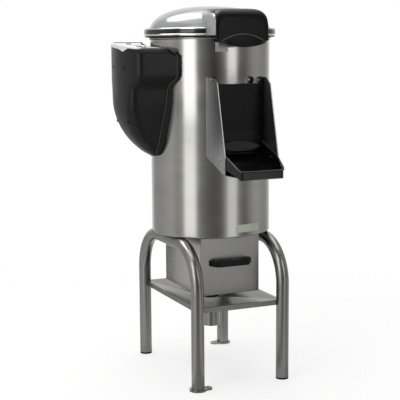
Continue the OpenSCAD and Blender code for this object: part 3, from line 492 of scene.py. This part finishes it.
# at each depth a section across X, from edge to edge: x = half cos(t), z = foot + height sin(t),
# both to the power 2/p; near the front the height falls and the half width draws in, both rounded,
# and behind it the edges rise along bossCurve
def gripGrid(inset):
    over, curve = grip["fallOver"], bossCurve[2:40]
    rounding = over * (1 - np.sin(np.linspace(0, np.pi / 2, 20)))
    along = grip["front"] - curve[:, 1]
    order = np.argsort(along)
    deepest = grip["front"] + grip["back"]
    depths = np.concatenate([rounding, along, grip["rows"], [deepest]])
    depths = np.unique(np.round(depths, 2))[::-1]
    rows = []
    for d in depths[depths <= deepest - inset]:
        p = np.interp(d, grip["powerAt"], grip["power"])
        curl = (1 - (max(0, over - d) / over) ** grip["fallPower"]) ** (1 / grip["fallPower"])
        tuck = math.sqrt(1 - (max(0, grip["drawOver"] - d) / grip["drawOver"]) ** 2)
        half = grip["half"] - inset - grip["draw"] * (1 - tuck)
        height = grip["top"] - inset - grip["fall"] * (1 - curl) - grip["foot"]
        edge = lid["foot"] - grip["foot"] + np.interp(d + inset, along[order], curve[order, 0])
        if d + inset < grip["straight"]:
            edge = 0
        start = math.asin(min(0.98, (max(0, edge) / height) ** (p / 2)))
        t = np.linspace(np.pi - start, start, 65)
        x = half * np.sign(np.cos(t)) * np.abs(np.cos(t)) ** (2 / p)
        z = grip["foot"] + height * np.abs(np.sin(t)) ** (2 / p)
        rows.append(np.stack([x, np.full_like(x, d + inset - grip["front"]), z], -1))
    last = rows[-1]
    for k in grip["inwards"]:
        rows.append(np.stack([last[:, 0] * k, last[:, 1],
                              grip["foot"] + (last[:, 2] - grip["foot"]) * k], -1))
    return np.array(rows)


# a lens between two arcs, z = middle + up (1 - u^2) above and middle - down (1 - u^2) below; its
# face stands lip proud at the upper arc and leans outwards by lean to the lower one
def lensPad(half, z, up, down, face, lean, lip, back):
    u = np.linspace(-1, 1, 49)[None, :]
    v = np.linspace(0, 1, 14)[:, None]
    bow = 1 - u * u
    top, low = z + up * bow, z - down * bow
    flare = (lip + lean * v ** 1.4) * np.minimum(1, 6 * bow + 0.05)
    outer = np.stack([half * u + 0 * v, face - flare + 0 * u, top + (low - top) * v], -1)
    rear = outer.copy()
    rear[..., 1] = back
    return shell(outer, rear)


# the flared grip, and a thin skirt behind it that closes the arc above
lens = {"half": 80, "z": 1115, "up": 24, "down": 15, "face": -grip["front"], "lean": 8.5,
        "lip": 2.2, "back": 5 - grip["front"]}
skirt = {"half": 95, "z": 1124, "up": 4, "down": 22, "face": 0.4 - grip["front"], "lean": 0.0,
         "lip": 0.0, "back": 4.5 - grip["front"]}
piece("lidHandle", [shell(gripGrid(0), gripGrid(grip["sheet"])), lensPad(**lens), lensPad(**skirt)],
      "handleAbs", "lid", ["lid_handle"], crease=40)

# the thin ledge along the lens's upper arc, thinner towards its ends, greyer as a painted highlight
ledge = {"half": 79, "out": 1.4, "z": 1115.5, "bow": 25, "section": (2.2, 1.6)}
arc = np.linspace(-1, 1, 41)
bow = 1 - arc * arc
ledgePath = np.stack([ledge["half"] * arc, np.full(41, -grip["front"] - ledge["out"]),
                      ledge["z"] + ledge["bow"] * bow], -1)
piece("gripLedge", [tube(ledgePath, ledge["section"], up=(0, -1, 0),
                         taper=np.clip(6 * bow, 0.2, 1))],
      "edgeAbsPaintedHighlight", "lid")


# control housing: level sections of the moulding, stacked from the tip to the panel

house = {
    "r": 329.4, "r0": 214.0, "half": 130.0,  # outer face, drum side, half width
    "tip": 745.6, "round": 55, "shoulder": 1020, "panel": 1107.0,  # heights
    "bowX": 125, "bowZ": 930,  # the middle of the arc, seen from the front, of the outer face
    "corner": 24, "more": 14, "moreFrom": 990, "moreOver": 120,  # corners, rounder below moreFrom
    "lean": math.tan(math.radians(4.8)), "slope": 12 / 18, "slopeR": 232,  # panel; fall to the drum
    "film": 119.5, "filmR": 233.5, "seat": 3.2, "seatIn": 0.3,  # panel: half width, radius, seat
    "sheet": 3.5, "lip": 3,  # thickness of the skin, and of the strip beside the drum
    "drop": (2.2, 14.8), "draw": (2.0, 8.5),  # the bevel round the panel: plain, more at the sides
    "bevel": [(0.03, 0.10), (0.10, 0.2), (0.5, 0.6), (0.9, 0.96), (1.0, 1.0)],  # in, up
}
# half width and height of the housing as seen from the left, from the tip up
outline = np.concatenate([bezier([(130, 1020), (130, 988), (100, 994), (96, 962)], 24),
                          bezier([(96, 962), (90, 890), (66, 835), (58, 800)], 24)[1:],
                          bezier([(58, 800), (49, 765), (24, 742), (0, 742)], 30)[1:]])[::-1]


def houseWidth(z):  # read off the outline
    return np.interp(z, outline[:, 1], outline[:, 0])


def houseReach(z):  # the full radius down to bowZ, then bowX + sqrt((r - bowX)^2 - (bowZ - z)^2)
    if z > house["bowZ"]:
        return house["r"]
    return house["bowX"] + math.sqrt((house["r"] - house["bowX"]) ** 2 - (house["bowZ"] - z) ** 2)


# a section seen from above, mirrored in Y: the side face from the drum outwards, a round corner,
# and the outer face on a circle of radius r round the drum's axis
def planCurve(w, r, corner):
    c = max(0.4, min(corner, 0.75 * w, 0.8 * (r - house["r0"])))
    cx = -math.sqrt((r - c) ** 2 - (w - c) ** 2)
    x0 = -math.sqrt(house["r0"] ** 2 - w ** 2)
    side = [(x0 + (cx - x0) * k, -w) for k in np.linspace(0, 1, 9)]
    a1 = math.atan2(-(w - c), cx) % (2 * math.pi)
    turned = [(cx + c * math.cos(a), -(w - c) + c * math.sin(a))
              for a in np.linspace(1.5 * math.pi, a1, 11)[1:]]
    face = [(r * math.cos(a), r * math.sin(a)) for a in np.linspace(a1, math.pi, 15)[1:]]
    half = np.array(side + turned + face)
    return np.concatenate([half, half[-2::-1] * (1, -1)])


def slopeNearDrum(x, y):  # the top's fall towards the drum: slope times the way inside slopeR
    return np.minimum(0, (np.hypot(x, y) - house["slopeR"]) * house["slope"])


def panelHeight(y):  # the panel leans down to the front: panel + lean y
    return house["panel"] + house["lean"] * y


houseRows = []
tipRows = house["tip"] + house["round"] * (1 - np.cos(np.linspace(0, np.pi / 2, 14)))
for z in np.concatenate([tipRows, np.linspace(808, house["shoulder"], 54)]):
    rounder = np.clip((house["moreFrom"] - z) / house["moreOver"], 0, 1)
    corner = house["corner"] + house["more"] * rounder
    plan = planCurve(houseWidth(z), houseReach(z), corner)
    houseRows.append(np.column_stack([plan, np.full(len(plan), z)]))
plan = planCurve(house["half"], house["r"], house["corner"])
ahead = np.gradient(plan, axis=0)
normal = np.column_stack([ahead[:, 1], -ahead[:, 0]]) / np.linalg.norm(ahead, axis=1)[:, None]
normal[plan[:, 0] * normal[:, 0] + plan[:, 1] * normal[:, 1] < 0] *= -1
sideways = np.clip((np.abs(normal[:, 1]) - 0.45) / 0.4, 0, 1)
drop, draw = (house[part][0] + house[part][1] * sideways for part in ("drop", "draw"))
edgeTop = panelHeight(plan[:, 1]) + slopeNearDrum(*plan.T)
for k in np.linspace(0, 1, 9)[1:]:  # straight up to the bevel
    up = house["shoulder"] + (edgeTop - drop - house["shoulder"]) * k
    houseRows.append(np.column_stack([plan, up]))
for inShare, upShare in house["bevel"]:
    moved = plan - normal * (draw * inShare)[:, None]
    z = panelHeight(moved[:, 1]) + slopeNearDrum(*moved.T) - drop * (1 - upShare)
    houseRows.append(np.column_stack([moved, z]))
seat = plan - normal * (draw + house["seatIn"])[:, None]  # the panel lies a little lower
seatFall = np.minimum(slopeNearDrum(*seat.T), -house["seat"])
houseRows.append(np.column_stack([seat, panelHeight(seat[:, 1]) + seatFall]))
skin = np.array(houseRows)
# square to the skin at each point, turned towards a point inside
inward = np.cross(np.gradient(skin, axis=1), np.gradient(skin, axis=0))
inward /= np.maximum(np.linalg.norm(inward, axis=2), 1e-6)[..., None]
middle = skin.mean(axis=(0, 1)) + (60, 0, 0)
inward *= np.sign(np.sum(inward * (middle - skin), axis=2))[..., None]

# the strip between the panel and the drum: circles round the drum as wide as the panel
ringR = np.linspace(house["r0"], house["filmR"], 9)[:, None]
swing = np.linspace(-1, 1, 61)[None, :] * np.arcsin(house["film"] / ringR)
x, y = -ringR * np.cos(swing), ringR * np.sin(swing)
strip = np.stack([x, y, panelHeight(y) + slopeNearDrum(x, y)], -1)
piece("housingSkin", [shell(skin, skin + house["sheet"] * inward),
                      shell(strip, strip - (0, 0, house["lip"]))],
      "housingAbs", "stand_and_drum", ["control_housing"], crease=32)

# the seam's bead, greyer as a painted highlight along the seam: where the outline meets the drum, x
# = -sqrt(r^2 - width^2)
bead = {"r": 216.2, "out": 0.4, "above": 758, "upTo": [(130, 1050), (130, 1078)], "half": 1.5}
beadW, beadZ = np.concatenate([outline[outline[:, 1] > bead["above"]], bead["upTo"]]).T
beadPath = np.column_stack([-np.sqrt(bead["r"] ** 2 - beadW ** 2), beadW + bead["out"], beadZ])
piece("housingBead", [tube(beadPath * (1, side, 1), (bead["half"], bead["half"]), up=(1, 0, 0),
                           steps=12) for side in (-1, 1)],
      "edgeAbsPaintedHighlight", "stand_and_drum")


# discharge door: the flared face of its grip, between two arcs

doorGrip = {"half": 74, "z": 785, "up": 18.5, "down": 13, "sheet": 1.5,
            "y": -218.7, "yAt": 805, "lean": 0.5}  # y at the height yAt, and how far it leans out
u, v = np.meshgrid(np.linspace(-1, 1, 41), np.linspace(0, 1, 9))
z = doorGrip["z"] + (1 - u * u) * (doorGrip["up"] * (1 - v) - doorGrip["down"] * v)
face = np.stack([doorGrip["half"] * u,
                 doorGrip["y"] - doorGrip["lean"] * (doorGrip["yAt"] - z), z], -1)
# the grip's face is paler ABS, a painted highlight where it flares outwards
piece("doorGrip", [shell(face, face + (0, doorGrip["sheet"], 0))], "gripAbsPaintedHighlight", "door")


# discharge chute: the rolled edges of its walls and of its front, greyer as a painted highlight

chute = {
    "wall": [(87.6, -209, 800.5), (87.6, -317, 762.5), (79, -376, 730.5), (74.5, -385, 725)],
    "front": [(-76, -386.2, 723.2), (-40, -387.2, 722.6), (40, -387.2, 722.6), (76, -386.2, 723.2)],
    "bend": 14, "wallHalf": (2.6, 2.2), "frontHalf": (2.4, 2.0),
}
edges = [tube(bent([(side * x, y, z) for x, y, z in chute["wall"]], chute["bend"]),
              chute["wallHalf"]) for side in (-1, 1)]
edges.append(tube(chute["front"], chute["frontHalf"]))
piece("chuteEdges", edges, "edgeAbsPaintedHighlight", "stand_and_drum")


# drawer handle: one bow with feet, rounded all over

pull = {
    "foot": 66, "bar": 56, "plate": -155, "stand": 27.5, "z": 397, "step": 7,
    "bend": 9, "half": (4.4, 10.4), "power": 4.5,
    "footHalf": (9, 10.6), "footPower": 5,
    "footRows": [(66, 0, 1), (66, 2, 1), (66, 6, 0.96), (65.5, 8, 0.6)],  # place, out, size
}
halfBow = [(pull["foot"], pull["plate"]), (pull["foot"], pull["plate"] - pull["step"]),
           (pull["bar"], pull["plate"] - pull["stand"])]
bowPath = [(-x, y, pull["z"]) for x, y in halfBow] + [(x, y, pull["z"]) for x, y in halfBow[::-1]]
feet = [tube([(side * x, pull["plate"] - out, pull["z"]) for x, out, size in pull["footRows"]],
             pull["footHalf"], power=pull["footPower"], steps=32,
             taper=[size for x, out, size in pull["footRows"]]) for side in (-1, 1)]
piece("drawerPull", [tube(bent(bowPath, pull["bend"], 6), pull["half"], power=pull["power"],
                          steps=28)] + feet,
      "blackAbs", "drawer", ["drawer_handle"])
print("pieces ready")


# floor, light and camera

# the room round the object, by azimuth in degrees: dark cards beside the lens and at the right,
# grey walls, the white backdrop behind; the floor as polished steel sees it carries the two strip
# lamps on
roomLight = [(-172, 1.0), (-163, 0.5), (-142, 0.6), (-128, 0.67), (-105, 0.8), (-97, 0.72),
             (-90, 0.5), (-84, 0.6), (-48, 0.42), (-38, 0.3), (-28, 0.18), (-20, 0.08),
             (-12, 0.08), (-2, 0.2), (2, 0.3), (24, 0.35), (34, 0.22), (46, 0.22), (57, 0.45),
             (68, 0.62), (80, 0.62), (94, 0.5), (112, 0.5), (132, 1.0)]
floorLight = [(-172, 0.9), (-163, 0.5), (-142, 0.6), (-128, 0.67), (-105, 0.8), (-97, 0.72),
              (-90, 0.55), (-79, 0.6), (-74, 1.05), (-54, 1.05), (-47, 0.45), (-36, 0.3),
              (-28, 0.24), (-20, 0.2), (-10, 0.2), (-2, 0.26), (5, 0.72), (26, 0.72), (33, 0.4),
              (38, 0.28), (46, 0.28), (57, 0.52), (68, 0.7), (80, 0.7), (94, 0.55), (112, 0.5),
              (132, 0.9)]


# grey by direction round Z, 0 at the front and positive to the viewer's right
def byAzimuth(tree, x, y, table):
    minusY = put(tree, "Math", {"operation": "MULTIPLY"}, {0: y, 1: -1.0}).outputs[0]
    turn = put(tree, "Math", {"operation": "ARCTAN2"}, {0: x, 1: minusY}).outputs[0]
    part = put(tree, "MapRange", None,
               {"Value": turn, "From Min": -math.pi, "From Max": math.pi}).outputs[0]
    return ramp(tree, part, [((a + 180) / 360, (v, v, v * 0.985, 1.0)) for a, v in table])


def larger(tree, *sockets):  # the largest of some values
    out = sockets[0]
    for socket in sockets[1:]:
        out = put(tree, "Math", {"operation": "MAXIMUM"}, {0: out, 1: socket}).outputs[0]
    return out


ground = {"half": 9.0, "share": (0.72, 1.0), "within": (0.5, 1.9)}  # metres; backdrop's share


def makeFloor():
    half = ground["half"]
    mesh = bpy.data.meshes.new("floor")
    mesh.from_pydata([(-half, -half, 0), (half, -half, 0), (half, half, 0), (-half, half, 0)],
                     [], [(0, 1, 2, 3)])
    floor = bpy.data.objects.new("floor", mesh)
    bpy.context.scene.collection.objects.link(floor)
    material, tree, shader = newMaterial("floorPaint")  # matt white emulsion, faintly uneven
    place = put(tree, "TexCoord").outputs["Object"]
    cloud = put(tree, "TexNoise", None, {"Vector": place, "Scale": 1.5}).outputs[0]
    tone = ramp(tree, cloud, [(0.3, srgb("#f6f6f5")), (0.7, srgb("#f9f9f8"))])
    fill(tree, shader, {"Base Color": tone, "Roughness": 0.9, "Specular IOR Level": 0.1})
    xyz = put(tree, "SeparateXYZ", None, {"Vector": place}).outputs
    mirrored = byAzimuth(tree, xyz["X"], xyz["Y"], floorLight)
    mirror = put(tree, "Emission", None, {"Color": mirrored}).outputs[0]
    plain = put(tree, "Emission", None, {"Color": (1, 1, 1, 1)}).outputs[0]
    rays = put(tree, "LightPath").outputs
    glow = put(tree, "MixShader", None, {0: rays["Is Glossy Ray"], 1: plain, 2: mirror}).outputs[0]
    far = put(tree, "VectorMath", {"operation": "LENGTH"}, {0: place}).outputs["Value"]
    share = put(tree, "MapRange", {"interpolation_type": "SMOOTHSTEP"},
                {"Value": far, "From Min": ground["within"][0], "From Max": ground["within"][1],
                 "To Min": ground["share"][0], "To Max": ground["share"][1]}).outputs[0]
    # what is seen straight, mirrored or through the lid turns to backdrop, away from the object
    seen = larger(tree, rays["Is Camera Ray"], rays["Is Glossy Ray"], rays["Is Transmission Ray"])
    whiteShare = put(tree, "Math", {"operation": "MULTIPLY"}, {0: share, 1: seen}).outputs[0]
    mixed = put(tree, "MixShader", None, {0: whiteShare, 1: shader.outputs[0], 2: glow}).outputs[0]
    fill(tree, tree.nodes["Material Output"], {"Surface": mixed})
    mesh.materials.append(material)


# softboxes: azimuth in degrees from the front, positive to the viewer's right; distance, height,
# width and tall in metres; radiance; and whether it faces down instead of level to the object
lightSet = {
    "leftLow": (-62.5, 2.6, 0.36, 1.06, 0.7, 1.25),
    "leftHigh": (-62, 2.6, 1.73, 1.12, 2.03, 2.9),
    "rightLow": (16.5, 2.4, 0.48, 0.78, 0.95, 0.85),
    "rightHigh": (16.5, 2.4, 1.78, 0.78, 1.65, 1.85),
    "highKey": (-50, 2.6, 3.0, 1.1, 0.8, 3.0),
    "topBox": (-150, 0.5, 3.1, 3.0, 3.0, 1.9, True),
}


def softbox(name, azimuth, distance, height, width, tall, radiance, facesDown=False):
    data = bpy.data.lights.new(name, "AREA")
    data.shape = "RECTANGLE"
    data.size, data.size_y = width, tall
    data.energy = radiance * math.pi * width * tall
    lamp = bpy.data.objects.new(name, data)
    bpy.context.scene.collection.objects.link(lamp)
    a = math.radians(azimuth)
    lamp.location = (distance * math.sin(a), -distance * math.cos(a), height)
    if not facesDown:
        aim = Vector((0, 0, height)) - lamp.location
        lamp.rotation_euler = aim.to_track_quat("-Z", "Y").to_euler()


# the white backdrop for what is seen straight or through the lid, and the room for the rest, with
# a window high behind the left shoulder that only the lid and the tubes' bends mirror
window = {"azimuth": -159, "elevation": 60, "inner": 18, "outer": 21,  # degrees
          "strength": 7.0}


def makeRoom():
    world = bpy.data.worlds.new("studio")
    bpy.context.scene.world = world
    world.use_nodes = True
    tree = world.node_tree
    tree.nodes.clear()
    direction = put(tree, "TexCoord").outputs["Generated"]
    axes = put(tree, "SeparateXYZ", None, {"Vector": direction}).outputs
    side, lift = math.radians(window["azimuth"]), math.radians(window["elevation"])
    centre = (math.sin(side) * math.cos(lift), -math.cos(side) * math.cos(lift), math.sin(lift))
    near = put(tree, "VectorMath", {"operation": "DOT_PRODUCT"},
               {0: direction, 1: centre}).outputs["Value"]
    glare = put(tree, "MapRange", {"interpolation_type": "SMOOTHSTEP"},
                {"Value": near, "From Min": math.cos(math.radians(window["outer"])),
                 "From Max": math.cos(math.radians(window["inner"])),
                 "To Min": 0.0, "To Max": window["strength"]}).outputs[0]
    rays = put(tree, "LightPath").outputs
    mirrored = put(tree, "Math", {"operation": "MULTIPLY"},
                   {0: glare, 1: rays["Is Glossy Ray"]}).outputs[0]
    room = byAzimuth(tree, axes["X"], axes["Y"], roomLight)
    around = put(tree, "Background", None, {"Color": room}).outputs[0]
    pane = put(tree, "Background", None,
               {"Color": (1, 1, 1, 1), "Strength": mirrored}).outputs[0]
    lit = put(tree, "AddShader", None, {0: around, 1: pane}).outputs[0]
    white = put(tree, "Background", None, {"Color": (1, 1, 1, 1)}).outputs[0]
    through = larger(tree, rays["Is Camera Ray"], rays["Is Transmission Ray"])
    shown = put(tree, "MixShader", None, {0: through, 1: lit, 2: white}).outputs[0]
    put(tree, "OutputWorld", None, {"Surface": shown})


# the photograph's camera: place and aim in metres, roll in degrees, the sensor in mm and the rest
# in pixels
view = {"at": (-1.4458, -3.1975, 1.0934), "aim": (0, 0, 0.5931), "roll": -0.28,
        "focal": 1035.0, "centre": (210.5, 197.01), "frame": 400, "sensor": 36}


def makeCamera():
    data = bpy.data.cameras.new("camera")
    camera = bpy.data.objects.new("camera", data)
    bpy.context.scene.collection.objects.link(camera)
    camera.location = view["at"]
    look = (Vector(view["aim"]) - camera.location).to_track_quat("-Z", "Y")
    roll = Quaternion((0, 0, 1), math.radians(view["roll"]))
    camera.rotation_euler = (look @ roll).to_euler()
    data.sensor_width = view["sensor"]
    data.lens = view["sensor"] * view["focal"] / view["frame"]
    data.shift_x = (view["frame"] / 2 - view["centre"][0]) / view["frame"]
    data.shift_y = (view["centre"][1] - view["frame"] / 2) / view["frame"]
    data.clip_end = 100
    bpy.context.scene.camera = camera


makeFloor()
for name, numbers in lightSet.items():
    softbox(name, *numbers)
makeRoom()
makeCamera()
bpy.context.scene.view_settings.view_transform = "Standard"
print("studio ready")
